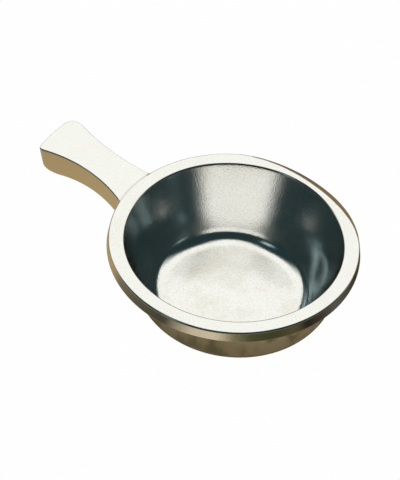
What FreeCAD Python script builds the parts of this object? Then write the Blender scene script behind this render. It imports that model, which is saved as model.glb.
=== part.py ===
import FreeCAD
import Part
import Sketcher
import math
import os

# Small cast-aluminium serving pan: a round bowl with a thick flat-topped lip, and one flared bar
# handle that is seated against the lip and the wall below it.
# Frame: origin at the centre of the base's underside, +Z up, +X along the handle away from the bowl.
# Lengths are in millimetres, angles in degrees.

DIMENSIONS = [
    # bowl
    ("rim_diameter", 127.0, "outside diameter of the lip, at its widest"),
    ("bowl_height", 43.4, "base underside to the top of the lip"),
    ("lip_width", 8.5, "widest outside of the lip to the wall's inner line, at the rim"),
    ("lip_height", 6.2, "top of the lip to its underside"),
    ("lip_side_draft", 9.6, "lean of the lip's side, outwards as it goes down"),
    ("wall_thickness", 5.3, "wall just under the lip, measured level"),
    ("wall_draft", 17.0, "lean of the wall's outside from upright"),
    ("cavity_draft", 21.0, "lean of the wall's inside from upright"),
    ("floor_thickness", 3.0, "floor of the bowl"),
    ("heel_height", 11.0, "base up to where the wall begins, outside"),
    ("heel_inset", 10.4, "wall's outer line at the heel in to the base's corner"),
    ("lip_outer_round", 1.2, "lip's upper outside edge"),
    ("lip_inner_round", 1.6, "lip's edge at the mouth"),
    ("lip_lower_round", 1.0, "lip's lower outside edge"),
    ("lip_underside_fillet", 2.0, "lip's underside to the wall"),
    ("floor_fillet", 8.5, "floor to the wall, inside"),
    ("heel_round", 14.0, "wall to the bevel above the base, outside"),
    ("base_round", 8.0, "bevel to the base, outside"),
    # handle, with its places taken outwards from the outside of the lip
    ("handle_length", 51.0, "outside of the lip to the handle's end"),
    ("handle_waist_out", 20.6, "outside of the lip to the narrowest place"),
    ("handle_waist_width", 20.2, "width at the narrowest place"),
    ("handle_side_radius", 80.0, "hollow curve of each side, seen from above"),
    ("handle_end_radius", 100.0, "crown of the end, seen from above"),
    ("handle_top_step", 1.1, "top of the lip down to the handle's top, at the lip"),
    ("handle_rise", 9.7, "slope of the handle's top"),
    ("handle_arch_out", 36.0, "outside of the lip to the crest of the underside's arch"),
    ("handle_arch_drop", 9.4, "top of the lip down to the crest of the underside's arch"),
    ("handle_arch_radius", 160.0, "arch of the underside, seen from the side"),
    ("handle_end_lean", 7.5, "lean of the end, inwards as it goes down"),
    ("handle_heel_round", 6.0, "end to the underside"),
    ("handle_side_draft", 2.0, "lean of the sides, inwards as they go down"),
    ("handle_top_round", 1.0, "edges of the top"),
    ("handle_lower_round", 1.5, "upright corners of the end, and edges of the underside"),
]

# Lengths that several sketches share, worked out from the cells above.
RIM_RADIUS = "dims.rim_diameter / 2"
MOUTH_RADIUS = "(dims.rim_diameter / 2 - dims.lip_width)"
LIP_TOP_RADIUS = "(dims.rim_diameter / 2 - dims.lip_height * tan(dims.lip_side_draft * 1 deg))"
WALL_SLOPE = "tan(dims.wall_draft * 1 deg)"
CAVITY_SLOPE = "tan(dims.cavity_draft * 1 deg)"
LIP_BOTTOM = "(dims.bowl_height - dims.lip_height)"
RISE_SLOPE = "tan(dims.handle_rise * 1 deg)"
HANDLE_END = "(dims.rim_diameter / 2 + dims.handle_length)"
WAIST = "(dims.rim_diameter / 2 + dims.handle_waist_out)"
ARCH = "(dims.rim_diameter / 2 + dims.handle_arch_out)"
ARCH_CREST = "(dims.bowl_height - dims.handle_arch_drop)"
TOP_AT_LIP = "(dims.bowl_height - dims.handle_top_step)"
TOP_AT_END = f"({TOP_AT_LIP} + dims.handle_length * {RISE_SLOPE})"
# The handle's blank starts well inside the bowl and runs past the handle's end.
BLANK_START = "(dims.rim_diameter / 2 - dims.handle_waist_out)"
BLANK_END = f"({HANDLE_END} + dims.handle_heel_round)"
TOP_AT_START = f"({TOP_AT_LIP} - dims.handle_waist_out * {RISE_SLOPE})"
TOP_BEYOND = f"({TOP_AT_END} + dims.handle_heel_round * {RISE_SLOPE})"
# Half the width of the cut that ends the handle, with room for the blank's flare beyond it.
END_CUT_REACH = "(2 * dims.handle_waist_width)"

doc = FreeCAD.newDocument("serving_pan")


def make_sheet():
    """Put every driving dimension in its own named cell, with a note beside it."""
    sheet = doc.addObject("Spreadsheet::Sheet", "dims")
    for row, (name, size, note) in enumerate(DIMENSIONS, start=1):
        sheet.set(f"A{row}", name)
        sheet.set(f"B{row}", str(size))
        sheet.setAlias(f"B{row}", name)
        sheet.set(f"C{row}", note)
    doc.recompute()
    return sheet


def value(expression):
    """The number that an expression over the sheet's cells gives now."""
    result = sheet.evalExpression(expression)
    return float(getattr(result, "Value", result))


def new_body(name):
    """A body whose label names the piece."""
    body = doc.addObject("PartDesign::Body", name)
    body.Label = name
    return body


def origin_plane(body, role):
    """One of the body's own origin planes, such as XY_Plane."""
    return next(plane for plane in body.Origin.OriginFeatures if plane.Role == role)


def new_sketch(body, name, role):
    """A sketch lying on one of the body's own origin planes."""
    sketch = body.newObject("Sketcher::SketchObject", name)
    sketch.AttachmentSupport = (origin_plane(body, role), [""])
    sketch.MapMode = "FlatFace"
    return sketch


def hold(sketch, kind, places, name, expression):
    """Add a dimension to a sketch and bind it to the sheet."""
    sketch.addConstraint(Sketcher.Constraint(kind, *places, value(expression)))
    sketch.renameConstraint(sketch.ConstraintCount - 1, name)
    sketch.setExpression(f"Constraints.{name}", expression)


def hold_point(sketch, geometry, end, name, across, up):
    """Place a sketch point from the sketch's origin; a zero puts it on that axis."""
    if across == "0":
        sketch.addConstraint(Sketcher.Constraint("PointOnObject", geometry, end, -2))
    else:
        hold(sketch, "DistanceX", (-1, 1, geometry, end), f"{name}_across", across)
    if up == "0":
        sketch.addConstraint(Sketcher.Constraint("PointOnObject", geometry, end, -1))
    else:
        hold(sketch, "DistanceY", (-1, 1, geometry, end), f"{name}_up", up)


def straight_outline(body, name, role, corners):
    """A closed outline of straight edges through named corners, each placed by two expressions."""
    sketch = new_sketch(body, name, role)
    points = [FreeCAD.Vector(value(across), value(up), 0) for _, across, up in corners]
    for start, end in zip(points, points[1:] + points[:1]):
        sketch.addGeometry(Part.LineSegment(start, end), False)
    for index in range(len(corners)):
        sketch.addConstraint(Sketcher.Constraint("Coincident", index, 2, (index + 1) % len(corners), 1))
    for index, (corner, across, up) in enumerate(corners):
        hold_point(sketch, index, 1, corner, across, up)
    return sketch


def turn(body, kind, name, sketch):
    """Turn a sketch once round the body's vertical axis, adding (Revolution) or cutting (Groove)."""
    feature = body.newObject(f"PartDesign::{kind}", name)
    feature.Profile = sketch
    feature.ReferenceAxis = (sketch, ["V_Axis"])
    feature.Angle = 360.0
    doc.recompute()
    return feature


def round_edges(body, name, wanted, radius):
    """Round the edges of the body's last feature for which wanted(edge) is true."""
    base = body.Tip
    edges = [f"Edge{index}" for index, edge in enumerate(base.Shape.Edges, start=1) if wanted(edge)]
    if not edges:
        raise RuntimeError(f"{name}: no edge found")
    fillet = body.newObject("PartDesign::Fillet", name)
    fillet.Base = (base, edges)
    fillet.setExpression("Radius", radius)
    doc.recompute()
    return fillet


def ring_at(across, up):
    """A test for a full circle about the vertical axis, of a given radius and height."""
    def wanted(edge):
        if not isinstance(edge.Curve, Part.Circle):
            return False
        near = math.isclose(edge.Curve.Radius, value(across), abs_tol=0.01)
        return near and math.isclose(edge.Curve.Center.z, value(up), abs_tol=0.01)
    return wanted


# The wall's two lines in section. The inner one starts at the rim's plane, the outer one starts at
# the lip's underside, a wall's thickness further out, and ends at the bevel above the base.
WALL_OUTSIDE_AT_LIP = f"({MOUTH_RADIUS} - dims.lip_height * {CAVITY_SLOPE} + dims.wall_thickness)"
WALL_OUTSIDE_AT_HEEL = f"({WALL_OUTSIDE_AT_LIP} - ({LIP_BOTTOM} - dims.heel_height) * {WALL_SLOPE})"
WALL_INSIDE_AT_FLOOR = f"({MOUTH_RADIUS} - (dims.bowl_height - dims.floor_thickness) * {CAVITY_SLOPE})"
BASE_RADIUS = f"({WALL_OUTSIDE_AT_HEEL} - dims.heel_inset)"


def outer_form(body):
    """The bowl's outside as one filled solid: bevelled base, tapered wall, lip, and rounded edges."""
    section = straight_outline(body, f"{body.Name}_section", "XZ_Plane", [
        ("base_centre", "0", "0"),
        ("base_corner", BASE_RADIUS, "0"),
        ("heel", WALL_OUTSIDE_AT_HEEL, "dims.heel_height"),
        ("under_lip", WALL_OUTSIDE_AT_LIP, LIP_BOTTOM),
        ("lip_low", RIM_RADIUS, LIP_BOTTOM),
        ("lip_high", LIP_TOP_RADIUS, "dims.bowl_height"),
        ("rim_centre", "0", "dims.bowl_height"),
    ])
    turn(body, "Revolution", f"{body.Name}_turned", section)
    rounds = [
        ("base_rounding", BASE_RADIUS, "0", "dims.base_round"),
        ("heel_rounding", WALL_OUTSIDE_AT_HEEL, "dims.heel_height", "dims.heel_round"),
        ("under_lip_fillet", WALL_OUTSIDE_AT_LIP, LIP_BOTTOM, "dims.lip_underside_fillet"),
        ("lip_low_rounding", RIM_RADIUS, LIP_BOTTOM, "dims.lip_lower_round"),
        ("lip_high_rounding", LIP_TOP_RADIUS, "dims.bowl_height", "dims.lip_outer_round"),
    ]
    for name, across, up, radius in rounds:
        round_edges(body, f"{body.Name}_{name}", ring_at(across, up), radius)


def cavity_section(body):
    """The bowl's hollow in section: flat floor, filleted corner, drafted wall, open mouth."""
    floor = value("dims.floor_thickness")
    fillet = value("dims.floor_fillet")
    upright = math.radians(90.0 - value("dims.cavity_draft"))
    floor_edge = value(WALL_INSIDE_AT_FLOOR) - fillet * math.tan(upright / 2)
    centre = FreeCAD.Vector(floor_edge, floor + fillet, 0)
    low = FreeCAD.Vector(floor_edge, floor, 0)
    wall_foot = centre + FreeCAD.Vector(math.sin(upright), -math.cos(upright), 0) * fillet
    bend = centre + FreeCAD.Vector(math.sin(upright / 2), -math.cos(upright / 2), 0) * fillet
    mouth = FreeCAD.Vector(value(MOUTH_RADIUS), value("dims.bowl_height"), 0)

    sketch = new_sketch(body, "cavity_section", "XZ_Plane")
    sketch.addGeometry(Part.LineSegment(FreeCAD.Vector(0, floor, 0), low), False)
    sketch.addGeometry(Part.Arc(low, bend, wall_foot), False)
    sketch.addGeometry(Part.LineSegment(wall_foot, mouth), False)
    sketch.addGeometry(Part.LineSegment(mouth, FreeCAD.Vector(0, mouth.y, 0)), False)
    sketch.addGeometry(Part.LineSegment(FreeCAD.Vector(0, mouth.y, 0), FreeCAD.Vector(0, floor, 0)), False)
    bottom, corner, wall, top, axis = range(5)
    sketch.addConstraint(Sketcher.Constraint("Tangent", bottom, 2, corner, 1))
    sketch.addConstraint(Sketcher.Constraint("Tangent", corner, 2, wall, 1))
    sketch.addConstraint(Sketcher.Constraint("Coincident", wall, 2, top, 1))
    sketch.addConstraint(Sketcher.Constraint("Coincident", top, 2, axis, 1))
    sketch.addConstraint(Sketcher.Constraint("Coincident", axis, 2, bottom, 1))
    sketch.addConstraint(Sketcher.Constraint("Horizontal", bottom))
    sketch.addConstraint(Sketcher.Constraint("Horizontal", top))
    sketch.addConstraint(Sketcher.Constraint("PointOnObject", axis, 2, -2))
    sketch.addConstraint(Sketcher.Constraint("PointOnObject", axis, 1, -2))
    hold(sketch, "DistanceY", (-1, 1, bottom, 1), "floor_up", "dims.floor_thickness")
    hold(sketch, "Radius", (corner,), "floor_fillet", "dims.floor_fillet")
    hold_point(sketch, wall, 2, "mouth", MOUTH_RADIUS, "dims.bowl_height")
    sketch.addConstraint(Sketcher.Constraint("Angle", wall, upright))
    sketch.renameConstraint(sketch.ConstraintCount - 1, "wall_lean")
    sketch.setExpression("Constraints.wall_lean", "90 deg - dims.cavity_draft * 1 deg")
    return sketch


def make_bowl():
    """The outer form, hollowed out, with a filleted floor and a rounded mouth."""
    body = new_body("bowl")
    outer_form(body)
    solid_volume = body.Shape.Volume
    turn(body, "Groove", "cavity", cavity_section(body))
    if body.Shape.Volume > 0.8 * solid_volume:
        raise RuntimeError("the cavity didn't cut the bowl")
    round_edges(body, "mouth_rounding", ring_at(MOUTH_RADIUS, "dims.bowl_height"),
                "dims.lip_inner_round")
    return body


def join_ends(sketch, joins):
    """Join pairs of curves where they meet; an arc's first end depends on the way it turns."""
    for first, second, place in joins:
        ends = [next(end for end in (1, 2)
                     if sketch.getPoint(curve, end).distanceToPoint(place) < 0.01)
                for curve in (first, second)]
        sketch.addConstraint(Sketcher.Constraint("Coincident", first, ends[0], second, ends[1]))


def handle_plan(body):
    """The handle's blank seen from above: two hollow sides about a waist, longer than it ends up."""
    waist = value(WAIST)
    half_waist = value("dims.handle_waist_width / 2")
    side_radius = value("dims.handle_side_radius")

    def on_side(across, side):
        half_width = half_waist + side_radius - math.sqrt(side_radius ** 2 - (across - waist) ** 2)
        return FreeCAD.Vector(across, side * half_width, 0)

    start = value(BLANK_START)
    beyond = value(BLANK_END)
    left_root, left_waist, left_end = [on_side(across, 1) for across in (start, waist, beyond)]
    right_root, right_waist, right_end = [on_side(across, -1) for across in (start, waist, beyond)]
    sketch = new_sketch(body, "handle_plan", "XY_Plane")
    sketch.setExpression("AttachmentOffset.Base.z", TOP_BEYOND)
    sketch.addGeometry(Part.Arc(left_root, left_waist, left_end), False)
    sketch.addGeometry(Part.LineSegment(left_end, right_end), False)
    sketch.addGeometry(Part.Arc(right_end, right_waist, right_root), False)
    sketch.addGeometry(Part.LineSegment(right_root, left_root), False)
    left, front, right, back = range(4)
    join_ends(sketch, [(left, front, left_end), (front, right, right_end),
                       (right, back, right_root), (back, left, left_root)])
    for name, curve, sign in (("left", left, ""), ("right", right, "-")):
        hold(sketch, "Radius", (curve,), f"{name}_radius", "dims.handle_side_radius")
        hold(sketch, "DistanceX", (-1, 1, curve, 3), f"{name}_waist", WAIST)
        hold(sketch, "DistanceY", (-1, 1, curve, 3), f"{name}_offset",
             f"{sign}(dims.handle_waist_width / 2 + dims.handle_side_radius)")
    for name, line, place in (("front", front, BLANK_END), ("back", back, BLANK_START)):
        sketch.addConstraint(Sketcher.Constraint("Vertical", line))
        hold(sketch, "DistanceX", (-1, 1, line, 1), name, place)
    return sketch


def arch_section(body):
    """What is cut away below the handle, seen from the side: everything under one shallow arch."""
    start = value(BLANK_START)
    beyond = value(BLANK_END)
    centre = FreeCAD.Vector(value(ARCH), value(f"{ARCH_CREST} - dims.handle_arch_radius"), 0)
    radius = value("dims.handle_arch_radius")

    def on_arch(across):
        return FreeCAD.Vector(across, centre.y + math.sqrt(radius ** 2 - (across - centre.x) ** 2), 0)

    root, crest, end = [on_arch(across) for across in (start, centre.x, beyond)]
    under_end = FreeCAD.Vector(beyond, 0, 0)
    under_root = FreeCAD.Vector(start, 0, 0)
    sketch = new_sketch(body, "arch_section", "XZ_Plane")
    sketch.addGeometry(Part.Arc(root, crest, end), False)
    sketch.addGeometry(Part.LineSegment(end, under_end), False)
    sketch.addGeometry(Part.LineSegment(under_end, under_root), False)
    sketch.addGeometry(Part.LineSegment(under_root, root), False)
    arch, front, under, back = range(4)
    join_ends(sketch, [(arch, front, end), (front, under, under_end),
                       (under, back, under_root), (back, arch, root)])
    hold(sketch, "Radius", (arch,), "arch_radius", "dims.handle_arch_radius")
    hold(sketch, "DistanceX", (-1, 1, arch, 3), "arch_across", ARCH)
    hold(sketch, "DistanceY", (-1, 1, arch, 3), "arch_up", f"{ARCH_CREST} - dims.handle_arch_radius")
    sketch.addConstraint(Sketcher.Constraint("Horizontal", under))
    sketch.addConstraint(Sketcher.Constraint("PointOnObject", under, 1, -1))
    for name, line, place in (("front", front, BLANK_END), ("back", back, BLANK_START)):
        sketch.addConstraint(Sketcher.Constraint("Vertical", line))
        hold(sketch, "DistanceX", (-1, 1, line, 1), name, place)
    return sketch


def end_section(body):
    """What is cut off the blank's end: all beyond a crowned line, on a plane that leans with the end."""
    radius = value("dims.handle_end_radius")
    depth = 2 * value("dims.handle_length")
    width = value(END_CUT_REACH)
    sagitta = radius - math.sqrt(radius ** 2 - width ** 2)
    left = FreeCAD.Vector(-sagitta, width, 0)
    right = FreeCAD.Vector(-sagitta, -width, 0)
    far_right = FreeCAD.Vector(depth, -width, 0)
    far_left = FreeCAD.Vector(depth, width, 0)
    sketch = new_sketch(body, "end_section", "XY_Plane")
    sketch.setExpression("AttachmentOffset.Base.x", HANDLE_END)
    sketch.setExpression("AttachmentOffset.Base.z", TOP_AT_END)
    sketch.setExpression("AttachmentOffset.Rotation.Axis.x", "0")
    sketch.setExpression("AttachmentOffset.Rotation.Axis.y", "1")
    sketch.setExpression("AttachmentOffset.Rotation.Axis.z", "0")
    sketch.setExpression("AttachmentOffset.Rotation.Angle", "dims.handle_end_lean * 1 deg")
    sketch.addGeometry(Part.Arc(left, FreeCAD.Vector(0, 0, 0), right), False)
    sketch.addGeometry(Part.LineSegment(right, far_right), False)
    sketch.addGeometry(Part.LineSegment(far_right, far_left), False)
    sketch.addGeometry(Part.LineSegment(far_left, left), False)
    crown, lower, outer, upper = range(4)
    join_ends(sketch, [(crown, lower, right), (lower, outer, far_right),
                       (outer, upper, far_left), (upper, crown, left)])
    sketch.addConstraint(Sketcher.Constraint("Horizontal", lower))
    sketch.addConstraint(Sketcher.Constraint("Horizontal", upper))
    sketch.addConstraint(Sketcher.Constraint("Vertical", outer))
    sketch.addConstraint(Sketcher.Constraint("PointOnObject", crown, 3, -1))
    hold(sketch, "Radius", (crown,), "end_radius", "dims.handle_end_radius")
    hold(sketch, "DistanceX", (-1, 1, crown, 3), "crown_centre", "-dims.handle_end_radius")
    hold(sketch, "DistanceX", (-1, 1, outer, 1), "depth", "2 * dims.handle_length")
    hold(sketch, "DistanceY", (-1, 1, upper, 1), "half_width", END_CUT_REACH)
    hold(sketch, "DistanceY", (-1, 1, lower, 1), "other_half_width", f"-{END_CUT_REACH}")
    return sketch


def cut_through(body, name, sketch):
    """Cut an outline right through a body, both ways from its sketch."""
    before = body.Shape.Volume
    pocket = body.newObject("PartDesign::Pocket", name)
    pocket.Profile = sketch
    pocket.Type = "ThroughAll"
    pocket.Midplane = True
    doc.recompute()
    if not body.Shape.Volume < 0.99 * before:
        raise RuntimeError(f"{name} cut nothing")


def lies_on_top(point):
    """Whether a point is on the handle's sloping top."""
    return abs(point.z - value(TOP_AT_END) - (point.x - value(HANDLE_END)) * value(RISE_SLOPE)) < 0.01


def edge_ends(edge):
    """An edge's end points."""
    return [vertex.Point for vertex in edge.Vertexes]


def heel_edge(edge):
    """The edge across the handle between its leaning end and its arched underside."""
    ends = edge_ends(edge)
    if len(ends) != 2 or ends[0].y * ends[1].y > 0 or any(lies_on_top(point) for point in ends):
        return False
    return all(point.x > value(ARCH) for point in ends)


def top_side_edge(edge):
    """An edge round the handle's top, apart from the one inside the bowl."""
    ends = edge_ends(edge)
    return all(lies_on_top(point) for point in ends) and any(point.x > value(WAIST) for point in ends)


def lower_side_edge(edge):
    """An edge along one side of the handle, below its top: up the end, round the heel, along the arch."""
    ends = edge_ends(edge)
    if len(ends) != 2 or ends[0].y * ends[1].y < 0 or all(lies_on_top(point) for point in ends):
        return False
    return any(point.x > value(WAIST) for point in ends)


def make_handle():
    """A drafted blank, cut to its sloping top, arch and leaning end, rounded, and seated on the bowl."""
    body = new_body("handle")
    blank = body.newObject("PartDesign::Pad", "handle_blank")
    blank.Profile = handle_plan(body)
    blank.Reversed = True
    blank.setExpression("Length", TOP_BEYOND)
    blank.setExpression("TaperAngle", "-dims.handle_side_draft")
    doc.recompute()
    cut_through(body, "sloping_top", straight_outline(body, "top_section", "XZ_Plane", [
        ("low", BLANK_START, TOP_AT_START),
        ("end", BLANK_END, TOP_BEYOND),
        ("high", BLANK_START, TOP_BEYOND),
    ]))
    cut_through(body, "arched_underside", arch_section(body))
    cut_through(body, "leaning_end", end_section(body))
    round_edges(body, "heel_rounding", heel_edge, "dims.handle_heel_round")
    round_edges(body, "lower_rounding", lower_side_edge, "dims.handle_lower_round")
    round_edges(body, "top_rounding", top_side_edge, "dims.handle_top_round")

    seat = new_body("bowl_envelope")
    outer_form(seat)
    before = body.Shape.Volume
    trim = body.newObject("PartDesign::Boolean", "seat_on_bowl")
    trim.setObjects([seat])
    trim.Type = "Cut"
    doc.recompute()
    if not body.Shape.Volume < 0.9 * before:
        raise RuntimeError("the handle wasn't seated on the bowl")
    return body


def check_document(pieces):
    """Stop if any object of the document failed, or a piece isn't one sound solid."""
    for thing in doc.Objects:
        if {"Invalid", "Error"} & set(thing.State):
            raise RuntimeError(f"{thing.Name}: {thing.State}")
    for piece in pieces:
        shape = piece.Shape
        if shape.isNull() or not shape.isValid() or len(shape.Solids) != 1:
            raise RuntimeError(f"{piece.Label} isn't one valid solid")


sheet = make_sheet()
pieces = [make_bowl(), make_handle()]
doc.recompute()
check_document(pieces)
os.makedirs("parts", exist_ok=True)
for piece in pieces:
    piece.Shape.exportStep(f"parts/{piece.Label}.step")
    box = piece.Shape.optimalBoundingBox()
    print(f"{piece.Label}: {piece.Shape.Volume:.0f} mm3, x {box.XMin:.2f}..{box.XMax:.2f},"
          f" y {box.YMin:.2f}..{box.YMax:.2f}, z {box.ZMin:.2f}..{box.ZMax:.2f}")
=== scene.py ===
"""Small cast-aluminium serving pan: a lathed bowl with a thick flat lip, and a flared bar handle.

Lengths are in metres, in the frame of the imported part: the origin is at the centre of the base's
underside, +Z is up, and +X runs along the handle away from the bowl.
"""

import logging
import math
from collections.abc import Callable
from dataclasses import dataclass, field
from enum import Enum

import bpy
import numpy as np
from mathutils import Matrix, Vector


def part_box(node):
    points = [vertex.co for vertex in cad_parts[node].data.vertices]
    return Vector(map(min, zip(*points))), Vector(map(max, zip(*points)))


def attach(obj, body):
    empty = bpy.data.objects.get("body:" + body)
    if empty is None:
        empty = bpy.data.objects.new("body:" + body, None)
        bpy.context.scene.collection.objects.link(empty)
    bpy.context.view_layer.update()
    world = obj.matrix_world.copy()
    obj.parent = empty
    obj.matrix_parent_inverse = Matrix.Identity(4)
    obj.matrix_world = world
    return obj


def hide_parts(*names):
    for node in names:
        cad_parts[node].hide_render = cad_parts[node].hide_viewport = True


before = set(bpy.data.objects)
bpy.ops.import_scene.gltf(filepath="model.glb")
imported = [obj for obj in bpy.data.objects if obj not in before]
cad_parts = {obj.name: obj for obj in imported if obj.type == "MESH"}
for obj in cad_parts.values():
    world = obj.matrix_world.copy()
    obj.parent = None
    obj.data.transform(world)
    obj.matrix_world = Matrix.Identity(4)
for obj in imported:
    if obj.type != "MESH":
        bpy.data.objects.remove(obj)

MM = 0.001
FULL_TURN = 360.0
Distance = Callable[[np.ndarray], np.ndarray]
log = logging.getLogger("serving_pan")


# ------------------------------------------------------------------------------------------------
# Small helpers
# ------------------------------------------------------------------------------------------------


def smooth_step(values: np.ndarray, low: float, high: float) -> np.ndarray:
    """Ease from 0 at low to 1 at high.

    Args:
        values: Where to read the curve.
        low: The value at which it starts to rise.
        high: The value at which it reaches 1.

    Returns:
        The eased shares, in the shape of values.
    """
    share = np.clip((values - low) / (high - low), 0.0, 1.0)
    return share * share * (3.0 - 2.0 * share)


def round_meet(first: np.ndarray, second: np.ndarray, radius: np.ndarray | float) -> np.ndarray:
    """Keep what is inside both of two surfaces, with their shared edge rounded.

    Args:
        first: Distance outside the first surface, negative inside it.
        second: Distance outside the second surface.
        radius: The edge's rounding radius.

    Returns:
        Distance outside the rounded shape.
    """
    outside = np.hypot(np.maximum(first + radius, 0.0), np.maximum(second + radius, 0.0))
    return np.minimum(np.maximum(first, second), -radius) + outside


def round_join(first: np.ndarray, second: np.ndarray, radius: float) -> np.ndarray:
    """Join two shapes with a hollow fillet where they meet.

    Args:
        first: Distance outside the first shape, negative inside it.
        second: Distance outside the second shape.
        radius: The fillet's radius.

    Returns:
        Distance outside the joined shape.
    """
    return -round_meet(-first, -second, radius)


def new_mesh_object(name: str, points: np.ndarray, faces: list | np.ndarray) -> bpy.types.Object:
    """Make a smooth-shaded mesh object in the scene.

    Args:
        name: The object's name.
        points: Corner positions, one row each.
        faces: Corner indices of each face.

    Returns:
        The linked object, at the origin.
    """
    mesh = bpy.data.meshes.new(name)
    mesh.from_pydata([tuple(point) for point in points], [], [tuple(face) for face in faces])
    mesh.validate()
    mesh.shade_smooth()
    made = bpy.data.objects.new(name, mesh)
    bpy.context.scene.collection.objects.link(made)
    return made


# ------------------------------------------------------------------------------------------------
# Node building
# ------------------------------------------------------------------------------------------------


def colour_socket(node: bpy.types.Node, name: str) -> bpy.types.NodeSocket:
    """Find a Mix node's colour input by its name."""
    return [socket for socket in node.inputs if socket.name == name and socket.type == "RGBA"][0]


class Tree:
    """A thin hand on a node tree: adds nodes, sets their values and joins them."""

    def __init__(self, tree: bpy.types.NodeTree) -> None:
        """Take the tree to work on."""
        self.tree = tree

    def add(self, kind: str, inputs: dict | None = None, **settings: object) -> bpy.types.Node:
        """Add a node.

        Args:
            kind: The node's type name.
            inputs: Input socket name or index to a number, or to a socket that feeds it.
            **settings: The node's own properties.

        Returns:
            The node.
        """
        node = self.tree.nodes.new(kind)
        for name, setting in settings.items():
            setattr(node, name, setting)
        for name, given in (inputs or {}).items():
            socket = node.inputs[name]
            if isinstance(given, bpy.types.NodeSocket):
                self.tree.links.new(given, socket)
            else:
                socket.default_value = given
        return node

    def link(self, source: bpy.types.NodeSocket, target: bpy.types.NodeSocket) -> None:
        """Join an output to an input."""
        self.tree.links.new(source, target)

    def between(self, value: object, low: float, high: float) -> bpy.types.NodeSocket:
        """Ease from 0 where a value is at low to 1 where it is at high.

        Args:
            value: A socket or a number.
            low: Where the share is 0; it may be above high.
            high: Where the share is 1.

        Returns:
            The share.
        """
        node = self.add("ShaderNodeMapRange", {"Value": value, "From Min": low, "From Max": high},
                        interpolation_type="SMOOTHSTEP")
        return node.outputs["Result"]

    def within(self, value: object, low: float, high: float, soft: float) -> bpy.types.NodeSocket:
        """Mask a range of a value, with soft ends.

        Args:
            value: A socket or a number.
            low: The middle of the range's lower end.
            high: The middle of its upper end.
            soft: Half the width of each end.

        Returns:
            The mask.
        """
        return self.math("MULTIPLY", self.between(value, low - soft, low + soft),
                         self.between(value, high + soft, high - soft))

    def blend(self, factor: object, first: object, second: object) -> bpy.types.NodeSocket:
        """Mix two colours.

        Args:
            factor: How much of the second, a socket or a number.
            first: A socket or three numbers.
            second: A socket or three numbers.

        Returns:
            The mixed colour.
        """
        node = self.add("ShaderNodeMix", data_type="RGBA")
        for name, given in (("Factor", factor), ("A", first), ("B", second)):
            if isinstance(given, bpy.types.NodeSocket):
                self.link(given, node.inputs[name] if name == "Factor" else colour_socket(node, name))
            elif name == "Factor":
                node.inputs[name].default_value = given
            else:
                colour_socket(node, name).default_value = (*given, 1.0)
        return [out for out in node.outputs if out.type == "RGBA"][0]

    def math(self, operation: str, *terms: object) -> bpy.types.NodeSocket:
        """Add a Math node over one, two or three terms and give its result."""
        node = self.add("ShaderNodeMath", dict(enumerate(terms)), operation=operation)
        return node.outputs[0]

    def vector_math(self, operation: str, *terms: object) -> bpy.types.NodeSocket:
        """Add a Vector Math node over its terms and give its first result."""
        node = self.add("ShaderNodeVectorMath", dict(enumerate(terms)), operation=operation)
        return node.outputs[0]

    def ramp(self, factor: bpy.types.NodeSocket, stops: list[tuple],
             span: float = 1.0) -> bpy.types.NodeSocket:
        """Add a Color Ramp.

        Args:
            factor: What drives it, from 0 to 1.
            stops: Pairs of a place and a grey or a colour.
            span: The place that stands for a factor of 1.

        Returns:
            The ramp's colour.
        """
        node = self.add("ShaderNodeValToRGB", {"Fac": factor})
        while len(node.color_ramp.elements) < len(stops):
            node.color_ramp.elements.new(1.0)
        for element, (place, colour) in zip(node.color_ramp.elements, stops):
            element.position = place / span
            grey = isinstance(colour, float)
            element.color = (colour, colour, colour, 1.0) if grey else (*colour, 1.0)
        return node.outputs["Color"]


# ------------------------------------------------------------------------------------------------
# Finishes
# ------------------------------------------------------------------------------------------------


class Node(Enum):
    """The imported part's nodes."""

    BOWL = "bowl"
    HANDLE = "handle"


@dataclass(frozen=True)
class CastAluminium:
    """Hand-polished cast aluminium."""

    name: str
    tint: tuple = (0.905, 0.90, 0.885)
    tarnish: tuple = (0.74, 0.68, 0.57)
    tarnished: float = 0.16
    roughness: float = 0.13
    pebbles_per_metre: float = 1250.0
    pebble_depth: float = 0.034 * MM
    scratch_depth: float = 0.0012 * MM
    # The next two settings make the colour darker and warmer towards the bottom.
    darker_below: float = 0.0
    darkening: float = 0.0
    pitting: float = 0.13
    pit: tuple = (0.12, 0.13, 0.12)
    dulled_by_tarnish: float = 0.10

    def material(self, surface: bpy.types.NodeTree) -> bpy.types.Material:
        """Build the material.

        Args:
            surface: The node group of a cast and polished surface.

        Returns:
            The material.
        """
        made = bpy.data.materials.new(self.name)
        made.use_nodes = True
        made.node_tree.nodes.clear()
        tree = Tree(made.node_tree)
        cast = tree.add("ShaderNodeGroup", {
            "Vector": tree.add("ShaderNodeTexCoord").outputs["Object"],
            "Pebbles per Metre": self.pebbles_per_metre,
            "Pebble Depth": self.pebble_depth,
            "Scratch Depth": self.scratch_depth,
            "Tarnished": self.tarnished,
            "Darker Below": self.darker_below,
            "Darkening": self.darkening,
            "Pitting": self.pitting,
        }, node_tree=surface)
        tint = tree.blend(cast.outputs["Tarnish"], self.tint, self.tarnish)
        tint = tree.blend(cast.outputs["Pits"], tint, self.pit)
        dulled = tree.math("MULTIPLY", cast.outputs["Tarnish"], self.dulled_by_tarnish)
        shader = tree.add("ShaderNodeBsdfPrincipled", {
            "Base Color": tint,
            "Metallic": 1.0,
            "Roughness": tree.math("ADD", dulled, self.roughness),
            "Normal": cast.outputs["Normal"],
        })
        tree.add("ShaderNodeOutputMaterial", {"Surface": shader.outputs["BSDF"]})
        return made


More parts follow.
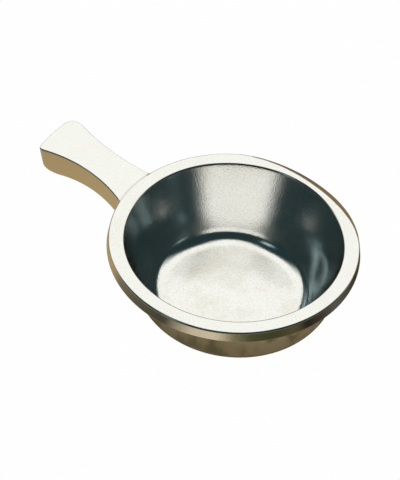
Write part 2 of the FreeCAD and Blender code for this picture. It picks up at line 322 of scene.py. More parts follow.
def cast_surface_group(swell_depth: float = 0.03 * MM,
                       darkening_fade: float = 1.5 * MM) -> bpy.types.NodeTree:
    """Build the node group of a cast surface: fine pebbling, polishing scratches, tarnish, and a darkening
    towards the bottom.

    Args:
        swell_depth: How deep the surface's broad swells are.
        darkening_fade: The height over which the darkening towards the bottom fades out.

    Returns:
        The group; its outputs are a normal, a tarnish mask that also holds the darkening towards the
        bottom, and a mask of fine dark pits.
    """
    group = bpy.data.node_groups.new("cast_surface", "ShaderNodeTree")
    face = group.interface
    face.new_socket("Vector", in_out="INPUT", socket_type="NodeSocketVector")
    for name in ("Pebbles per Metre", "Pebble Depth", "Scratch Depth", "Tarnished",
                 "Darker Below", "Darkening", "Pitting"):
        face.new_socket(name, in_out="INPUT", socket_type="NodeSocketFloat")
    face.new_socket("Normal", in_out="OUTPUT", socket_type="NodeSocketVector")
    face.new_socket("Tarnish", in_out="OUTPUT", socket_type="NodeSocketFloat")
    face.new_socket("Pits", in_out="OUTPUT", socket_type="NodeSocketFloat")
    tree = Tree(group)
    given = tree.add("NodeGroupInput").outputs
    pebbles = tree.add("ShaderNodeTexNoise", {
        "Vector": given["Vector"],
        "Scale": given["Pebbles per Metre"],
        "Detail": 1.5,
    })
    swells = tree.add("ShaderNodeTexNoise", {"Vector": given["Vector"], "Scale": 110.0, "Detail": 1.0})
    turned = tree.add("ShaderNodeMapping", {
        "Vector": given["Vector"],
        "Rotation": (0.3, 0.2, 0.9),
        "Scale": (2400.0, 130.0, 400.0),
    })
    strokes = tree.add("ShaderNodeTexNoise", {
        "Vector": turned.outputs["Vector"],
        "Scale": 1.0,
        "Detail": 1.0,
    })
    lines = tree.ramp(strokes.outputs["Fac"], [(0.0, 0.0), (0.60, 0.0), (0.74, 1.0)])
    pebbling = tree.math("MULTIPLY", pebbles.outputs["Fac"], given["Pebble Depth"])
    swell = tree.math("MULTIPLY", swells.outputs["Fac"], swell_depth)
    scratch = tree.math("MULTIPLY", lines, given["Scratch Depth"])
    relief = tree.math("SUBTRACT", tree.math("ADD", pebbling, swell), scratch)
    bump = tree.add("ShaderNodeBump", {"Height": relief, "Strength": 1.0, "Distance": 1.0})
    patches = tree.add("ShaderNodeTexNoise", {
        "Vector": given["Vector"],
        "Scale": 70.0,
        "Detail": 5.0,
        "Roughness": 0.6,
    })
    patchy = tree.ramp(patches.outputs["Fac"], [(0.46, 0.0), (0.72, 1.0)])
    # Darker towards the bottom: below the given height the tarnish mask grows, so the colour turns darker
    # and warmer and the surface duller.
    height = tree.add("ShaderNodeSeparateXYZ", {"Vector": given["Vector"]}).outputs["Z"]
    depth = tree.math("DIVIDE", tree.math("SUBTRACT", given["Darker Below"], height), darkening_fade)
    darkened = tree.math("MULTIPLY", tree.between(depth, 0.0, 1.0), given["Darkening"])
    pits = tree.add("ShaderNodeTexNoise", {"Vector": given["Vector"], "Scale": 1500.0, "Detail": 2.0})
    pitted = tree.ramp(pits.outputs["Fac"], [(0.46, 0.0), (0.66, 1.0)])
    tree.add("NodeGroupOutput", {
        "Normal": bump.outputs["Normal"],
        "Tarnish": tree.math("MULTIPLY", patchy, tree.math("ADD", given["Tarnished"], darkened)),
        "Pits": tree.math("MULTIPLY", pitted, given["Pitting"]),
    })
    return group


def compass_group(far: tuple = (0.5526, -0.8335, 0.0),
                  right: tuple = (-0.8335, -0.5526, 0.0)) -> bpy.types.NodeTree:
    """Build the node group that tells where a place lies round the pan.

    Args:
        far: The level direction from the pan to the far side of the set.
        right: The level direction to its right side.

    Returns:
        The group; Turn runs from 0 at the far side of the set, clockwise seen from above, to 1; Rise
        is the angle above the floor in degrees; Reach is the level distance from the pan's axis.
    """
    group = bpy.data.node_groups.new("compass", "ShaderNodeTree")
    face = group.interface
    face.new_socket("Place", in_out="INPUT", socket_type="NodeSocketVector")
    for name in ("Turn", "Rise", "Reach"):
        face.new_socket(name, in_out="OUTPUT", socket_type="NodeSocketFloat")
    tree = Tree(group)
    given = tree.add("NodeGroupInput").outputs
    ahead, aside = [tree.add("ShaderNodeVectorMath", {0: given["Place"], 1: way},
                             operation="DOT_PRODUCT") for way in (far, right)]
    turn = tree.math("ARCTAN2", aside.outputs["Value"], ahead.outputs["Value"])
    level = tree.vector_math("MULTIPLY", given["Place"], (1.0, 1.0, 0.0))
    reach = tree.add("ShaderNodeVectorMath", {0: level}, operation="LENGTH")
    height = tree.add("ShaderNodeSeparateXYZ", {"Vector": given["Place"]})
    rise = tree.math("ARCTAN2", height.outputs["Z"], reach.outputs["Value"])
    tree.add("NodeGroupOutput", {
        "Turn": tree.math("FRACT", tree.math("ADD", tree.math("DIVIDE", turn, math.tau), 1.0)),
        "Rise": tree.math("DEGREES", rise),
        "Reach": reach.outputs["Value"],
    })
    return group


# ------------------------------------------------------------------------------------------------
# Bowl
# ------------------------------------------------------------------------------------------------


@dataclass
class Bowl:
    """The lathed bowl: floor, drafted wall and thick flat-topped lip."""

    lip_width: float = 8.5 * MM
    lip_height: float = 6.2 * MM
    lip_side_draft: float = math.radians(9.6)
    wall_thickness: float = 5.3 * MM
    wall_draft: float = math.radians(17.0)
    cavity_draft: float = math.radians(21.0)
    floor_thickness: float = 3.0 * MM
    heel_height: float = 11.0 * MM
    heel_inset: float = 10.4 * MM
    lip_outer_round: float = 1.2 * MM
    lip_inner_round: float = 1.6 * MM
    lip_lower_round: float = 1.0 * MM
    under_lip_fillet: float = 2.0 * MM
    floor_fillet: float = 9.3 * MM
    heel_round: float = 14.0 * MM
    base_round: float = 8.0 * MM
    worn_from: float = 57.9 * MM
    worn_slope: float = math.radians(35.0)
    worn_towards: float = math.radians(-100.0)
    worn_half_width: float = math.radians(58.0)
    unworn_margin: float = 0.3 * MM
    lean: float = 2.2 * MM
    lean_towards: float = math.radians(-146.5)
    waviness: float = 0.03 * MM
    wave_size: float = 22.0 * MM
    wave_seed: float = 7.0
    steps_round: int = 320
    longest_step: float = 1.1 * MM
    radius: float = field(init=False)
    height: float = field(init=False)

    def __post_init__(self) -> None:
        """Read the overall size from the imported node."""
        low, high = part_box("bowl")
        half_corner = (math.pi / 2.0 - self.lip_side_draft) / 2.0
        rounded_off = self.lip_lower_round * (1.0 / math.tan(half_corner) - 1.0)
        self.radius = (high.y - low.y) / 2.0 + rounded_off
        self.height = high.z

    def lip_bottom(self) -> float:
        """Height of the lip's underside."""
        return self.height - self.lip_height

    def lip_radius(self, height: np.ndarray | float) -> np.ndarray | float:
        """Radius of the lip's side at a height."""
        return self.radius - (height - self.lip_bottom()) * math.tan(self.lip_side_draft)

    def outside_wall_radius(self, height: np.ndarray | float) -> np.ndarray | float:
        """Radius of the wall's outer line at a height."""
        under_lip = self.inside_wall_radius(self.lip_bottom()) + self.wall_thickness
        return under_lip - (self.lip_bottom() - height) * math.tan(self.wall_draft)

    def inside_wall_radius(self, height: np.ndarray | float) -> np.ndarray | float:
        """Radius of the wall's inner line at a height."""
        mouth = self.radius - self.lip_width
        return mouth - (self.height - height) * math.tan(self.cavity_draft)

    def section(self) -> np.ndarray:
        """Trace the bowl's section from the base's centre round the outside to the floor's centre.

        Returns:
            Points as (radius, height) rows; each corner is an arc of its own radius.
        """
        lip_bottom = self.lip_bottom()
        heel_radius = self.outside_wall_radius(self.heel_height)
        corners = [
            ((0.0, 0.0), 0.0),
            ((heel_radius - self.heel_inset, 0.0), self.base_round),
            ((heel_radius, self.heel_height), self.heel_round),
            ((self.outside_wall_radius(lip_bottom), lip_bottom), self.under_lip_fillet),
            ((self.radius, lip_bottom), self.lip_lower_round),
            ((self.lip_radius(self.height), self.height), self.lip_outer_round),
            ((self.radius - self.lip_width, self.height), self.lip_inner_round),
            ((self.inside_wall_radius(self.floor_thickness), self.floor_thickness), self.floor_fillet),
            ((0.0, self.floor_thickness), 0.0),
        ]
        traced = [np.array(corners[0][0])]
        for (before, _), (corner, radius), (after, _) in zip(corners, corners[1:], corners[2:]):
            for point in rounded_corner(before, corner, after, radius):
                traced += straight_run(traced[-1], point, self.longest_step)
        traced += straight_run(traced[-1], np.array(corners[-1][0]), self.longest_step)
        return np.array(traced)

    def outside_distance(self, points: np.ndarray) -> np.ndarray:
        """Distance of points outside the bowl's filled outer form.

        Args:
            points: Positions, one row each.

        Returns:
            Distances, negative inside.
        """
        reach = np.hypot(points[:, 0], points[:, 1])
        height = points[:, 2]
        middle = self.height - self.lip_height / 2.0
        rounding = np.where(height > middle, self.lip_outer_round, self.lip_lower_round)
        side = (reach - self.lip_radius(height)) * math.cos(self.lip_side_draft)
        lip = round_meet(side, np.abs(height - middle) - self.lip_height / 2.0, rounding)
        wall = (reach - self.outside_wall_radius(height)) * math.cos(self.wall_draft)
        wall = np.maximum(wall, height - middle)
        return round_join(lip, wall, self.under_lip_fillet)

    def build(self, finish: bpy.types.Material) -> bpy.types.Object:
        """Lathe the section into the finished piece.

        Args:
            finish: The material that the piece is made of.

        Returns:
            The piece.
        """
        section = self.section()
        outline = bpy.data.meshes.new("bowl_section")
        outline.from_pydata([(reach, 0.0, height) for reach, height in section],
                            [(index, index + 1) for index in range(len(section) - 1)], [])
        blank = bpy.data.objects.new("bowl_blank", outline)
        bpy.context.scene.collection.objects.link(blank)
        modifier = blank.modifiers.new("lathe", "NODES")
        modifier.node_group = lathe_tree()
        sockets = {item.name: item.identifier for item in modifier.node_group.interface.items_tree
                   if item.item_type == "SOCKET" and item.in_out == "INPUT"}
        settings = {
            "Steps Round": self.steps_round,
            "Finish": finish,
            "Rim Height": self.height,
            "Lip Edge": self.lip_radius(self.height) + self.unworn_margin,
            "Worn From": self.worn_from,
            "Worn Fall": math.tan(self.worn_slope),
            "Worn Towards": self.worn_towards,
            "Worn Half Width": self.worn_half_width,
            "Lip Bottom": self.lip_bottom(),
            "Lean": self.lean,
            "Lean Towards": self.lean_towards,
            "Waviness": self.waviness,
            "Wave Size": self.wave_size,
            "Seed": self.wave_seed,
        }
        for name, setting in settings.items():
            modifier[sockets[name]] = setting
        evaluated = blank.evaluated_get(bpy.context.evaluated_depsgraph_get())
        mesh = bpy.data.meshes.new_from_object(evaluated)
        bpy.data.objects.remove(blank)
        mesh.name = "polished_bowl"
        piece = bpy.data.objects.new("polished_bowl", mesh)
        bpy.context.scene.collection.objects.link(piece)
        return piece


def rounded_corner(before: tuple, corner: tuple, after: tuple, radius: float,
                   turn_per_step: float = math.radians(5.0)) -> list[np.ndarray]:
    """Points of an arc that rounds a corner of an outline.

    Args:
        before: The corner before it.
        corner: The corner itself.
        after: The corner after it.
        radius: The arc's radius.
        turn_per_step: How far the arc turns from one point to the next.

    Returns:
        The arc's points, in order along the outline.
    """
    corner_at = np.array(corner)
    back = np.array(before) - corner_at
    ahead = np.array(after) - corner_at
    back /= np.linalg.norm(back)
    ahead /= np.linalg.norm(ahead)
    half_angle = math.acos(float(np.clip(back @ ahead, -1.0, 1.0))) / 2.0
    middle = (back + ahead) / np.linalg.norm(back + ahead)
    centre = corner_at + middle * radius / math.sin(half_angle)
    sweep = math.pi - 2.0 * half_angle
    count = max(2, math.ceil(sweep / turn_per_step))
    side = np.array([-middle[1], middle[0]])
    side *= np.sign(side @ ahead)
    turns = np.linspace(-sweep / 2.0, sweep / 2.0, count + 1)
    return [centre + radius * (side * math.sin(turn) - middle * math.cos(turn)) for turn in turns]


def straight_run(start: np.ndarray, end: np.ndarray, longest: float) -> list[np.ndarray]:
    """Points along a straight run after its start, none further apart than longest."""
    count = max(1, math.ceil(float(np.linalg.norm(end - start)) / longest))
    return [start + (end - start) * step / count for step in range(1, count + 1)]


@dataclass(frozen=True)
class LatheShaping:
    """Where the lathe's waves and lean take hold of the section."""

    worn_softness: float = 0.4 * MM
    waves_from_height: tuple = (0.5 * MM, 12.0 * MM)
    waves_from_axis: tuple = (0.0, 15.0 * MM)
    mid_wall_slope: float = 0.44
    mid_wall_radius: float = 38.9 * MM
    base_top: float = 2.0 * MM
    lean_grows_over: float = 12.0 * MM
    handle_way: tuple = (0.6, 0.95)
    handle_height: tuple = (14.0 * MM, 22.0 * MM)
    weld_distance: float = 0.002 * MM


def lathe_tree(shaping: LatheShaping = LatheShaping()) -> bpy.types.NodeTree:
    """Build the node tree that turns a section about the vertical axis.

    Args:
        shaping: Where the waves and the lean take hold.

    Returns:
        The tree; its inputs are the section, the steps round, the finish, how the lip's top edge is
        worn down on one side, how the wall's outside leans, and how the surface waves.
    """
    tree = bpy.data.node_groups.new("lathe_section", "GeometryNodeTree")
    face = tree.interface
    face.new_socket("Section", in_out="INPUT", socket_type="NodeSocketGeometry")
    face.new_socket("Steps Round", in_out="INPUT", socket_type="NodeSocketInt")
    face.new_socket("Finish", in_out="INPUT", socket_type="NodeSocketMaterial")
    for name in ("Rim Height", "Lip Edge", "Worn From", "Worn Fall", "Worn Towards", "Worn Half Width",
                 "Lip Bottom", "Lean", "Lean Towards", "Waviness", "Wave Size", "Seed"):
        face.new_socket(name, in_out="INPUT", socket_type="NodeSocketFloat")
    face.new_socket("Turned", in_out="OUTPUT", socket_type="NodeSocketGeometry")
    make = Tree(tree)
    given = make.add("NodeGroupInput").outputs
    size = make.add("GeometryNodeAttributeDomainSize", {"Geometry": given["Section"]}, component="MESH")
    around = make.math("ADD", given["Steps Round"], 1.0)
    grid = make.add("GeometryNodeMeshGrid", {
        "Size X": 1.0,
        "Size Y": 1.0,
        "Vertices X": around,
        "Vertices Y": size.outputs["Point Count"],
    })
    position = make.add("GeometryNodeInputPosition").outputs["Position"]
    place = make.add("ShaderNodeSeparateXYZ", {"Vector": position})
    turn = make.math("MULTIPLY", make.math("ADD", place.outputs["X"], 0.5), math.tau)
    last = make.math("SUBTRACT", size.outputs["Point Count"], 1.0)
    along = make.math("ROUND", make.math("MULTIPLY", make.math("ADD", place.outputs["Y"], 0.5), last))
    sample = make.add("GeometryNodeSampleIndex", {
        "Geometry": given["Section"],
        "Value": position,
        "Index": along,
    }, data_type="FLOAT_VECTOR", domain="POINT")
    point = make.add("ShaderNodeSeparateXYZ", {"Vector": sample.outputs["Value"]})
    aside = make.math("ABSOLUTE", make.math("WRAP", make.math("SUBTRACT", turn, given["Worn Towards"]),
                                            math.pi, -math.pi))
    worn = make.add("ShaderNodeMapRange", {
        "Value": aside,
        "From Min": given["Worn Half Width"],
        "From Max": 0.0,
        "To Min": given["Lip Edge"],
        "To Max": given["Worn From"],
    }, interpolation_type="SMOOTHSTEP")
    past = make.math("SUBTRACT", point.outputs["X"], worn.outputs["Result"])
    bevel = make.math("SUBTRACT", given["Rim Height"], make.math("MULTIPLY", past, given["Worn Fall"]))
    height = make.math("SMOOTH_MIN", point.outputs["Z"], bevel, shaping.worn_softness)
    cosine, sine = make.math("COSINE", turn), make.math("SINE", turn)
    level = make.add("ShaderNodeCombineXYZ", {"X": cosine, "Y": sine})
    spot = make.add("ShaderNodeVectorMath", {
        0: level.outputs["Vector"],
        "Scale": point.outputs["X"],
    }, operation="SCALE")
    lifted = make.add("ShaderNodeCombineXYZ", {"Z": point.outputs["Z"]})
    waves = make.add("ShaderNodeTexNoise", {
        "Vector": make.vector_math("ADD", spot.outputs["Vector"], lifted.outputs["Vector"]),
        "W": given["Seed"],
        "Scale": make.math("DIVIDE", 1.0, given["Wave Size"]),
        "Detail": 1.0,
    }, noise_dimensions="4D")
    sink = make.math("MULTIPLY", waves.outputs["Fac"], given["Waviness"])
    raised = make.between(point.outputs["Z"], *shaping.waves_from_height)
    out = make.between(point.outputs["X"], *shaping.waves_from_axis)
    reach = make.math("SUBTRACT", point.outputs["X"], make.math("MULTIPLY", sink, out))
    middle = make.math("MULTIPLY_ADD", point.outputs["Z"], shaping.mid_wall_slope, shaping.mid_wall_radius)
    outside = make.math("MAXIMUM", make.math("GREATER_THAN", point.outputs["X"], middle),
                        make.math("LESS_THAN", point.outputs["Z"], shaping.base_top))
    below = make.math("SUBTRACT", given["Lip Bottom"], point.outputs["Z"])
    by_handle = make.math("MULTIPLY", make.between(cosine, *shaping.handle_way),
                          make.between(point.outputs["Z"], *shaping.handle_height))
    share = make.math("MULTIPLY", make.between(below, 0.0, shaping.lean_grows_over), outside)
    share = make.math("MULTIPLY", share, make.math("SUBTRACT", 1.0, by_handle))
    lean = make.math("MULTIPLY", share, given["Lean"])
    turned = make.add("ShaderNodeCombineXYZ", {
        "X": make.math("MULTIPLY_ADD", reach, cosine,
                       make.math("MULTIPLY", lean, make.math("COSINE", given["Lean Towards"]))),
        "Y": make.math("MULTIPLY_ADD", reach, sine,
                       make.math("MULTIPLY", lean, make.math("SINE", given["Lean Towards"]))),
        "Z": make.math("SUBTRACT", height, make.math("MULTIPLY", sink, raised)),
    })
    placed = make.add("GeometryNodeSetPosition", {
        "Geometry": grid.outputs["Mesh"],
        "Position": turned.outputs["Vector"],
    })
    closed = make.add("GeometryNodeMergeByDistance", {
        "Geometry": placed.outputs["Geometry"],
        "Distance": shaping.weld_distance,
    })
    smooth = make.add("GeometryNodeSetShadeSmooth", {"Geometry": closed.outputs["Geometry"]})
    real = make.add("GeometryNodeRealizeInstances", {"Geometry": smooth.outputs["Geometry"]})
    dressed = make.add("GeometryNodeSetMaterial", {
        "Geometry": real.outputs["Geometry"],
        "Material": given["Finish"],
    })
    make.add("NodeGroupOutput", {"Turned": dressed.outputs["Geometry"]})
    return tree


# ------------------------------------------------------------------------------------------------
# Handle
# ------------------------------------------------------------------------------------------------


@dataclass(frozen=True)
class HandleSide:
    """One long side of the handle, drawn in to a waist."""

    half_waist: float
    radius: float
    waist_out: float
    corner: float


@dataclass
class Handle:
    """The flared bar handle, cast on to the lip and the wall below it."""

    bowl: Bowl
    left: HandleSide = HandleSide(9.69 * MM, 61.0 * MM, 20.9 * MM, 2.4 * MM)
    right: HandleSide = HandleSide(10.42 * MM, 110.0 * MM, 20.3 * MM, 6.6 * MM)
    length: float = 50.90 * MM
    end_radius: float = 100.0 * MM
    end_skew: float = math.radians(-0.9)
    top_step: float = 1.18 * MM
    rise: float = math.radians(9.7)
    arch_out: float = 39.3 * MM
    arch_drop: float = 9.4 * MM
    arch_radius: float = 189.0 * MM
    end_lean: float = math.radians(7.25)
    heel_round: float = 5.96 * MM
    side_draft: float = math.radians(2.06)
    lower_round: float = 1.0 * MM
    top_round: float = 0.8 * MM
    root_fillet: float = 1.5 * MM
    corners_from_end: tuple = (12.0 * MM, 6.0 * MM)
    sunk: float = 0.6 * MM
    cell: float = 0.35 * MM
    cells_of_margin: float = 3.0

    def distance(self, points: np.ndarray) -> np.ndarray:
        """Distance of points outside the handle.

        Args:
            points: Positions, one row each.

        Returns:
            Distances, negative inside.
        """
        across, side, height = points.T
        lip = self.bowl.radius
        rim = self.bowl.height
        end_across = lip + self.length
        end_height = rim - self.top_step + self.length * math.tan(self.rise)
        top = (height - end_height - (across - end_across) * math.tan(self.rise)) * math.cos(self.rise)
        is_left = side > 0.0
        half_waist = np.where(is_left, self.left.half_waist, self.right.half_waist)
        radius = np.where(is_left, self.left.radius, self.right.radius)
        waist_out = np.where(is_left, self.left.waist_out, self.right.waist_out)
        away = np.hypot(across - lip - waist_out, np.abs(side) - half_waist - radius)
        drafted = radius + (end_height - height) * math.tan(self.side_draft)
        sides = (drafted - away) * math.cos(self.side_draft)
        arch_height = rim - self.arch_drop - self.arch_radius
        arch = self.arch_radius - np.hypot(across - lip - self.arch_out, height - arch_height)
        past = across - end_across - side * math.tan(self.end_skew)
        beyond = past * math.cos(self.end_lean) - (height - end_height) * math.sin(self.end_lean)
        end = np.hypot(beyond + self.end_radius, side) - self.end_radius
        near_end = smooth_step(across, *[end_across - inwards for inwards in self.corners_from_end])
        corner = np.where(is_left, self.left.corner, self.right.corner)
        rounding = self.lower_round + (corner - self.lower_round) * near_end
        around = round_meet(round_meet(end, arch, self.heel_round), sides, rounding)
        bar = round_meet(around, top, self.top_round)
        bowl = self.bowl.outside_distance(points)
        joined = round_join(bar, bowl, self.root_fillet)
        return np.maximum(np.maximum(joined, -bowl - self.sunk), bar - self.root_fillet)

    def build(self, finish: bpy.types.Material) -> bpy.types.Object:
        """Mesh the handle's surface.

        Args:
            finish: The material that the piece is made of.

        Returns:
            The piece.
        """
        low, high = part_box("handle")
        margin = self.cells_of_margin * self.cell
        start = np.array(low) - margin
        counts = np.ceil((np.array(high) + margin - start) / self.cell).astype(int)
        points, faces = surface_net(self.distance, start, counts, self.cell)
        piece = new_mesh_object("polished_handle", points, faces)
        piece.data.materials.append(finish)
        return piece


def surface_net(distance: Distance, start: np.ndarray, counts: np.ndarray, cell: float,
                refinements: int = 4) -> tuple[np.ndarray, np.ndarray]:
    """Mesh the surface where a distance is zero, with one point in each cell that it crosses.

    Args:
        distance: Function from rows of positions to distances, negative inside.
        start: The grid's lowest corner.
        counts: Cells along each axis.
        cell: The side of a cell.
        refinements: How often the points step towards the surface.

    Returns:
        The surface's points, and its faces as rows of four point indices, outward.
    """
    axes = [start[axis] + cell * np.arange(counts[axis] + 1) for axis in range(3)]
    grid = np.stack(np.meshgrid(*axes, indexing="ij"), axis=-1)
    values = distance(grid.reshape(-1, 3)).reshape(grid.shape[:3])
    inside = values < 0.0
    total = np.zeros((*counts, 3))
    hits = np.zeros(tuple(counts))
    crossings = []
    for axis in range(3):
        head = [slice(None)] * 3
        tail = [slice(None)] * 3
        head[axis] = slice(1, None)
        tail[axis] = slice(None, -1)
        before, after = values[tuple(tail)], values[tuple(head)]
        crossed = inside[tuple(tail)] != inside[tuple(head)]
        gap = np.where(crossed, before - after, 1.0)
        where = grid[tuple(tail)].copy()
        where[..., axis] += cell * before / gap
        crossings.append((crossed, inside[tuple(tail)]))
        others = [other for other in range(3) if other != axis]
        for first in (0, 1):
            for second in (0, 1):
                reach = [slice(None)] * 3
                reach[axis] = slice(0, counts[axis])
                reach[others[0]] = slice(first, first + counts[others[0]])
                reach[others[1]] = slice(second, second + counts[others[1]])
                part = crossed[tuple(reach)]
                total += where[tuple(reach)] * part[..., None]
                hits += part
    used = hits > 0
    number = np.full(tuple(counts), -1)
    number[used] = np.arange(used.sum())
    points = total[used] / hits[used][:, None]
    for _ in range(refinements):
        points = points - surface_step(distance, points, cell)
    faces = []
    for axis, (crossed, tail_inside) in enumerate(crossings):
        first, second = [other for other in range(3) if other != axis]
        places = np.argwhere(crossed)
        keep = np.all((places[:, [first, second]] > 0)
                      & (places[:, [first, second]] < counts[[first, second]]), axis=1)
        places = places[keep]
        ring = []
        for back_first, back_second in ((1, 1), (0, 1), (0, 0), (1, 0)):
            at = places.copy()
            at[:, first] -= back_first
            at[:, second] -= back_second
            ring.append(number[tuple(at.T)])
        quads = np.stack(ring, axis=1)
        outward = tail_inside[tuple(places.T)] != (axis == 1)
        quads[~outward] = quads[~outward][:, ::-1]
        faces.append(quads)
    return points, np.concatenate(faces)


def surface_step(distance: Distance, points: np.ndarray, cell: float, probe: float = 0.02,
                 least_slope: float = 0.5, longest: float = 0.5) -> np.ndarray:
    """Tell how far points have to step back, along a distance's slope, to lie where it is zero.

    Args:
        distance: Function from rows of positions to distances.
        points: Positions, one row each.
        cell: The side of a cell.
        probe: How far to each side the slope is read, in cells.
        least_slope: The least slope that the step is worked out with.
        longest: The longest step along an axis, in cells.

    Returns:
        The steps, one row each.
    """
    reach = probe * cell
    slope = np.stack([(distance(points + reach * unit) - distance(points - reach * unit)) / (2.0 * reach)
                      for unit in np.eye(3)], axis=1)
    size = np.maximum(np.sum(slope * slope, axis=1), least_slope ** 2)
    step = (distance(points) / size)[:, None] * slope
    return np.clip(step, -longest * cell, longest * cell)


# ------------------------------------------------------------------------------------------------
# Studio
# ------------------------------------------------------------------------------------------------


@dataclass
class Camera:
    """Where the camera stands and looks."""

    place: tuple = (-0.33105, 0.52979, 0.67589)
    aim: tuple = (0.01271, 0.01145, 0.0434)
    roll: float = math.radians(3.79)
    lens: float = 134.27

    def build(self) -> None:
        """Set the camera up and make it the scene's own."""
        lens = bpy.data.cameras.new("camera")
        lens.lens = self.lens
        lens.sensor_width = 36.0
        lens.clip_start = 0.01
        lens.clip_end = 50.0
        made = bpy.data.objects.new("camera", lens)
        bpy.context.scene.collection.objects.link(made)
        facing = (Vector(self.aim) - Vector(self.place)).to_track_quat("-Z", "Y").to_matrix().to_4x4()
        turned = facing @ Matrix.Rotation(self.roll, 4, "Z")
        made.matrix_world = Matrix.Translation(Vector(self.place)) @ turned
        bpy.context.scene.camera = made


# Painted reflection colours that the floor shows only to the metal, by turn round the pan in degrees: a
# warm surround with darker patches, within reach of the pan and further off.
PAINTED_REFLECTION_ROUND = [
    (60.0, (0.06, 0.058, 0.045)),
    (80.0, (0.035, 0.033, 0.025)),
    (105.0, (0.10, 0.095, 0.08)),
    (118.0, (0.05, 0.04, 0.03)),
    (128.0, (0.020, 0.016, 0.012)),
    (137.0, (0.09, 0.075, 0.035)),
    (150.0, (0.05, 0.05, 0.02)),
    (166.0, (0.07, 0.07, 0.03)),
    (177.0, (0.20, 0.18, 0.10)),
    (188.0, (0.66, 0.56, 0.40)),
    (203.0, (0.62, 0.52, 0.37)),
    (214.0, (0.30, 0.26, 0.17)),
    (222.0, (0.06, 0.055, 0.035)),
    (245.0, (0.10, 0.095, 0.06)),
    (262.0, (0.18, 0.16, 0.10)),
    (272.0, (0.40, 0.29, 0.14)),
    (300.0, (0.44, 0.33, 0.17)),
]
PAINTED_REFLECTION_FAR = [
    (60.0, (0.24, 0.16, 0.075)),
    (110.0, (0.10, 0.08, 0.05)),
    (290.0, (0.30, 0.27, 0.20)),
    (330.0, (0.24, 0.19, 0.12)),
]
# Painted reflection colours under the bowl, by the distance from the pan's axis.
PAINTED_REFLECTION_UNDER = [
    (42.0 * MM, (0.10, 0.08, 0.05)),
    (56.0 * MM, (0.19, 0.145, 0.08)),
    (75.0 * MM, (0.30, 0.245, 0.15)),
]


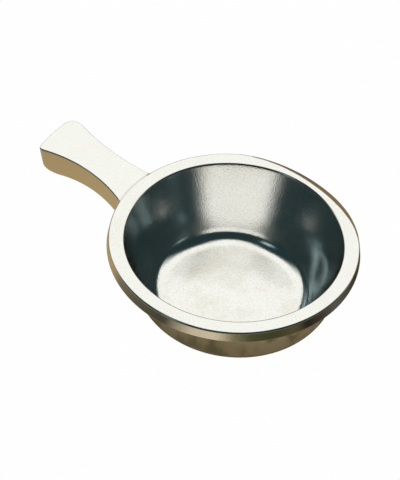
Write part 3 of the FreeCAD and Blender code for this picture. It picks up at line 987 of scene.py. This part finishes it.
@dataclass
class Studio:
    """A pale floor inside a white light tent that is open, and dark beyond, on its near side. The floor
    is plain white to the camera, but shows the metal painted reflection colours of a warm surround.

    Angles are in degrees: round the pan for half_open, pane_turn and their softness, and above the
    floor for the others.
    """

    tent_radius: float = 2.5
    floor_half_size: float = 2.75
    floor_drop: float = 0.1 * MM
    floor_white: tuple = (0.992, 0.992, 0.992)
    # The next five settings are painted reflection colours and their fades: a warm surround that only the
    # metal mirrors.
    painted_reflection_edge: tuple = (0.22, 0.15, 0.075)
    painted_reflection_edge_fade: tuple = (16.0, 9.0)
    painted_reflection_streak: tuple = (0.085, 0.072, 0.036)
    painted_reflection_under_fade: tuple = (76.0 * MM, 92.0 * MM)
    painted_reflection_round_fade: tuple = (150.0 * MM, 200.0 * MM)
    half_open: float = 110.0
    half_open_softness: float = 16.2
    open_from: tuple = (3.0, 10.0)
    open_to: tuple = (82.0, 69.0)
    pane_turn: tuple = (225.0, 240.0)
    pane_rise: tuple = (35.0, 50.0)
    pane_softness: float = 2.0
    pane: tuple = (0.40, 0.56, 0.58)
    white: tuple = (1.035, 1.045, 0.99)
    dark: tuple = (0.016, 0.036, 0.039)

    def build(self) -> None:
        """Lay the floor and put the tent up."""
        compass = compass_group()
        corners = np.array([(-1.0, -1.0, 0.0), (1.0, -1.0, 0.0), (1.0, 1.0, 0.0), (-1.0, 1.0, 0.0)])
        corners = corners * self.floor_half_size - (0.0, 0.0, self.floor_drop)
        floor = new_mesh_object("floor", corners, [(0, 1, 2, 3)])
        floor.data.materials.append(self.floor_material(compass))
        tent = new_mesh_object("light_tent", *self.tent_shape())
        tent.data.materials.append(self.tent_material(compass))
        world = bpy.data.worlds.new("studio")
        bpy.context.scene.world = world
        world.use_nodes = True
        world.node_tree.nodes["Background"].inputs["Color"].default_value = (*self.white, 1.0)
        bpy.context.scene.view_settings.view_transform = "Standard"

    def tent_shape(self, around: int = 64, up: int = 16) -> tuple[np.ndarray, list]:
        """Shape the tent as half a sphere, facing in.

        Args:
            around: Panels round it.
            up: Panels from the floor to the top.

        Returns:
            Its points and its faces.
        """
        points = [(0.0, 0.0, self.tent_radius)]
        for row in range(up):
            rise = math.pi / 2.0 * row / up
            for column in range(around):
                turn = math.tau * column / around
                level = self.tent_radius * math.cos(rise)
                height = self.tent_radius * math.sin(rise)
                points.append((level * math.cos(turn), level * math.sin(turn), height))
        faces = []
        for column in range(around):
            after = (column + 1) % around
            for row in range(up - 1):
                low = 1 + row * around
                faces.append((low + after, low + column, low + around + column, low + around + after))
            top = 1 + (up - 1) * around
            faces.append((top + after, top + column, 0))
        return np.array(points), faces

    def tent_material(self, compass: bpy.types.NodeTree) -> bpy.types.Material:
        """Make the tent's glowing cloth, with its dark opening, a paler pane in that, and a low tan band
        near the floor that is a painted reflection.

        Args:
            compass: The compass node group.

        Returns:
            The material.
        """
        made, tree, where = stage_material("light_tent", compass)
        turn = tree.math("MULTIPLY", where.outputs["Turn"], FULL_TURN)
        rise = where.outputs["Rise"]
        aside = tree.math("ABSOLUTE", tree.math("SUBTRACT", turn, FULL_TURN / 2.0))
        opening = tree.between(aside, self.half_open + self.half_open_softness,
                               self.half_open - self.half_open_softness)
        for height in (self.open_from, self.open_to):
            opening = tree.math("MULTIPLY", opening, tree.between(rise, *height))
        pane = tree.math("MULTIPLY", tree.within(turn, *self.pane_turn, self.pane_softness),
                         tree.within(rise, *self.pane_rise, self.pane_softness))
        beyond = tree.blend(pane, self.dark, self.pane)
        # Painted reflection: the cloth turns tan towards the floor.
        cloth = tree.blend(tree.between(rise, *self.painted_reflection_edge_fade), self.white, self.painted_reflection_edge)
        glow = tree.add("ShaderNodeEmission", {"Color": tree.blend(opening, cloth, beyond)})
        tree.add("ShaderNodeOutputMaterial", {"Surface": glow.outputs["Emission"]})
        return made

    def floor_material(self, compass: bpy.types.NodeTree) -> bpy.types.Material:
        """Make the floor: plain white to look at, and painted reflection colours of a warm table in what
        the metal mirrors.

        Args:
            compass: The compass node group.

        Returns:
            The material.
        """
        made, tree, where = stage_material("floor_paper", compass)
        turn, reach = where.outputs["Turn"], where.outputs["Reach"]
        # Painted reflection: a warm surround with darker patches and streaks, by turn and reach round the
        # pan.
        painted_surround = tree.blend(tree.between(reach, *self.painted_reflection_round_fade),
                           tree.ramp(turn, PAINTED_REFLECTION_ROUND, FULL_TURN), tree.ramp(turn, PAINTED_REFLECTION_FAR, FULL_TURN))
        ramp_span = 0.1
        painted_under_bowl = tree.ramp(tree.math("DIVIDE", reach, ramp_span), PAINTED_REFLECTION_UNDER, ramp_span)
        streaks = tree.add("ShaderNodeTexNoise", {
            "Vector": tree.add("ShaderNodeTexCoord").outputs["Object"],
            "Scale": 75.0,
            "Detail": 3.0,
        })
        shaded = tree.between(streaks.outputs["Fac"], 0.42, 0.66)
        painted_under_bowl = tree.blend(shaded, painted_under_bowl, self.painted_reflection_streak)
        mirrored = tree.blend(tree.between(reach, *self.painted_reflection_under_fade), painted_under_bowl, painted_surround)
        # Camera rays see plain white; every other ray sees the painted reflection colours.
        seen = tree.add("ShaderNodeLightPath").outputs["Is Camera Ray"]
        glow = tree.add("ShaderNodeEmission", {"Color": tree.blend(seen, mirrored, self.floor_white)})
        see_through = tree.add("ShaderNodeMixShader", {
            "Fac": tree.add("ShaderNodeNewGeometry").outputs["Backfacing"],
            1: glow.outputs["Emission"],
            2: tree.add("ShaderNodeBsdfTransparent").outputs["BSDF"],
        })
        tree.add("ShaderNodeOutputMaterial", {"Surface": see_through.outputs["Shader"]})
        return made


def stage_material(name: str, compass: bpy.types.NodeTree
                   ) -> tuple[bpy.types.Material, Tree, bpy.types.Node]:
    """Start a material of the set.

    Args:
        name: The material's name.
        compass: The compass node group.

    Returns:
        The material, the hand on its node tree, and its compass node.
    """
    made = bpy.data.materials.new(name)
    made.use_nodes = True
    made.node_tree.nodes.clear()
    tree = Tree(made.node_tree)
    place = tree.add("ShaderNodeTexCoord").outputs["Object"]
    where = tree.add("ShaderNodeGroup", {"Place": place}, node_tree=compass)
    return made, tree, where


def main() -> None:
    """Build the pan, its studio and its camera."""
    surface = cast_surface_group()
    bowl = Bowl()
    handle = Handle(bowl)
    # The bowl turns darker and warmer in its lowest 4.2 mm.
    bowl_finish = CastAluminium("cast_aluminium_bowl", darker_below=4.2 * MM, darkening=0.35)
    handle_finish = CastAluminium("cast_aluminium_handle", roughness=0.17, tarnished=0.08,
                                  pitting=0.06)
    for builder, node, finish in ((bowl, Node.BOWL, bowl_finish),
                                  (handle, Node.HANDLE, handle_finish)):
        piece = builder.build(finish.material(surface))
        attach(piece, "root")
        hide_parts(node.value)
        log.info("%s: %d faces", piece.name, len(piece.data.polygons))
    Studio().build()
    Camera().build()


if __name__ == "__main__":
    logging.basicConfig(level=logging.INFO, format="%(name)s: %(message)s")
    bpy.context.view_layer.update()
    main()
